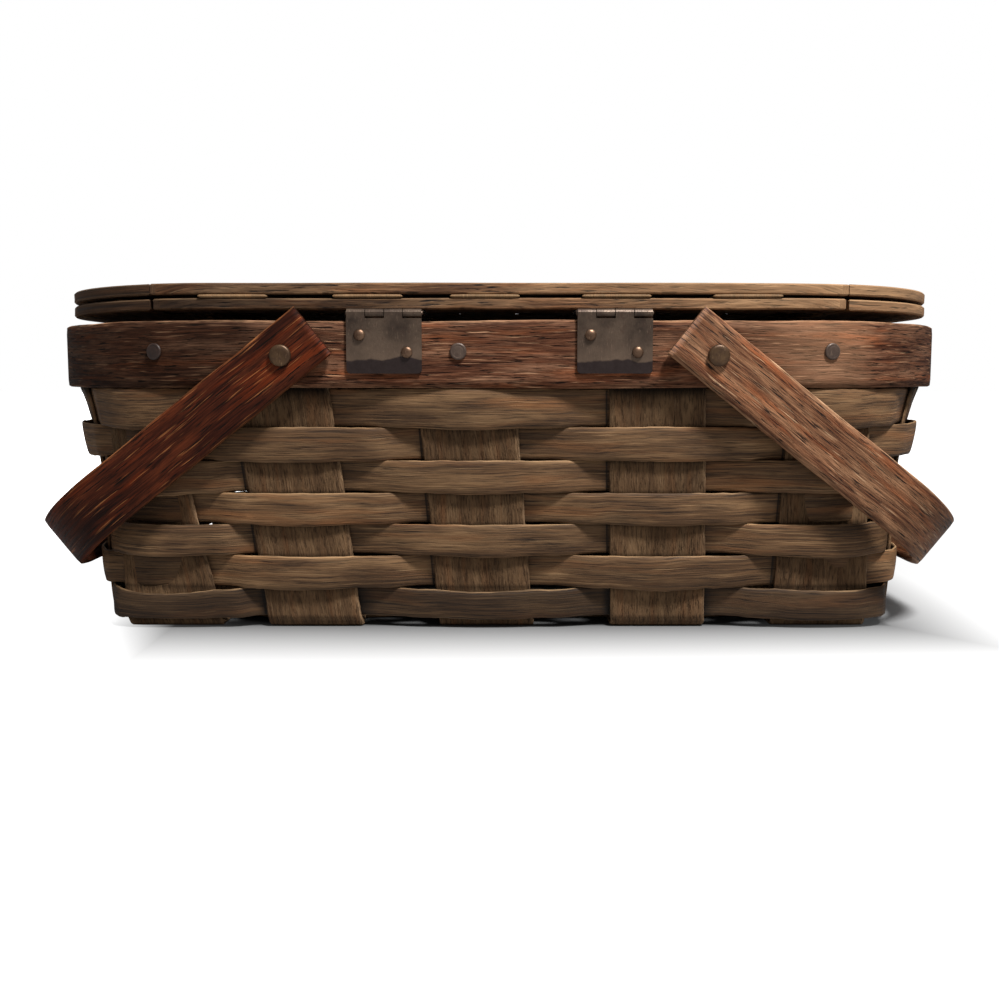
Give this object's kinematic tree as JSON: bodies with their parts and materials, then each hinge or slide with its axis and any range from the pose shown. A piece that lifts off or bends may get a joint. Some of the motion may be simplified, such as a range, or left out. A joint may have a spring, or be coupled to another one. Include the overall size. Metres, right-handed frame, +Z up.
{
  "type": "picnic basket",
  "caption": "Woven splint picnic basket with a hinged framed lid and bent-wood swing handles.",
  "frame": {"origin": "on the ground under the middle of the basket", "axes": "+X along the length to the right seen from the hinge side, +Y from the hinge side to the opening side, +Z up"},
  "size_m": [0.514, 0.3176, 0.1771],
  "materials": {
    "stake": "rough stained splint",
    "weaver": "stained splint, satin",
    "band": "dark walnut stain, satin",
    "handle": "dark mahogany stain, satin",
    "lid_frame": "dark stain, worn",
    "lid_splint": "stained splint",
    "iron": "dark aged patina"
  },
  "bodies": {
    "basket": {"cross_stake_1": "stake", "cross_stake_2": "stake", "cross_stake_3": "stake", "cross_stake_4": "stake", "cross_stake_5": "stake", "long_stake_1": "stake", "long_stake_2": "stake", "long_stake_3": "stake", "weaver_1": "weaver", "weaver_2": "weaver", "weaver_3": "weaver", "weaver_4": "weaver", "weaver_5": "weaver", "weaver_6": "weaver", "weaver_7": "weaver", "rim_outer_band": "band", "rim_inner_band": "band", "rim_nail_1": "iron", "rim_nail_2": "iron", "rim_nail_3": "iron", "rim_nail_4": "iron", "rim_nail_5": "iron", "rim_nail_6": "iron", "pivot_rivet_1": "iron", "pivot_rivet_2": "iron", "pivot_rivet_3": "iron", "pivot_rivet_4": "iron", "hinge_1_lower_leaf": "iron", "hinge_2_lower_leaf": "iron", "hinge_1_pin": "iron", "hinge_2_pin": "iron", "hinge_1_lower_rivet_1": "iron", "hinge_1_lower_rivet_2": "iron", "hinge_2_lower_rivet_1": "iron", "hinge_2_lower_rivet_2": "iron"},
    "lid": {"lid_lower_left_board": "lid_frame", "lid_lower_right_board": "lid_frame", "lid_lower_front_rail": "lid_frame", "lid_lower_hinge_rail": "lid_frame", "lid_upper_left_board": "lid_frame", "lid_upper_right_board": "lid_frame", "lid_upper_front_rail": "lid_frame", "lid_upper_hinge_rail": "lid_frame", "lid_cross_splint_1": "lid_splint", "lid_cross_splint_2": "lid_splint", "lid_cross_splint_3": "lid_splint", "lid_cross_splint_4": "lid_splint", "lid_cross_splint_5": "lid_splint", "lid_long_splint_1": "lid_splint", "lid_long_splint_2": "lid_splint", "lid_long_splint_3": "lid_splint", "lid_long_splint_4": "lid_splint", "hinge_1_upper_leaf": "iron", "hinge_2_upper_leaf": "iron", "hinge_1_upper_rivet_1": "iron", "hinge_1_upper_rivet_2": "iron", "hinge_2_upper_rivet_1": "iron", "hinge_2_upper_rivet_2": "iron"},
    "handle_left": {"handle_left": "handle"},
    "handle_right": {"handle_right": "handle"}
  },
  "joints": [
    {"name": "lid_hinge", "type": "hinge", "parent": "basket", "child": "lid", "pos_m": [0, -0.1491, 0.1614], "axis": [1, 0, 0], "range_deg": [0, 170]},
    {"name": "handle_left_swing", "type": "hinge", "parent": "basket", "child": "handle_left", "pos_m": [-0.10761, 0, 0.1403], "axis": [0, -1, 0], "range_deg": [-160, 0]},
    {"name": "handle_right_swing", "type": "hinge", "parent": "basket", "child": "handle_right", "pos_m": [0.10761, 0, 0.1403], "axis": [0, 1, 0], "range_deg": [-160, 0]}
  ]
}
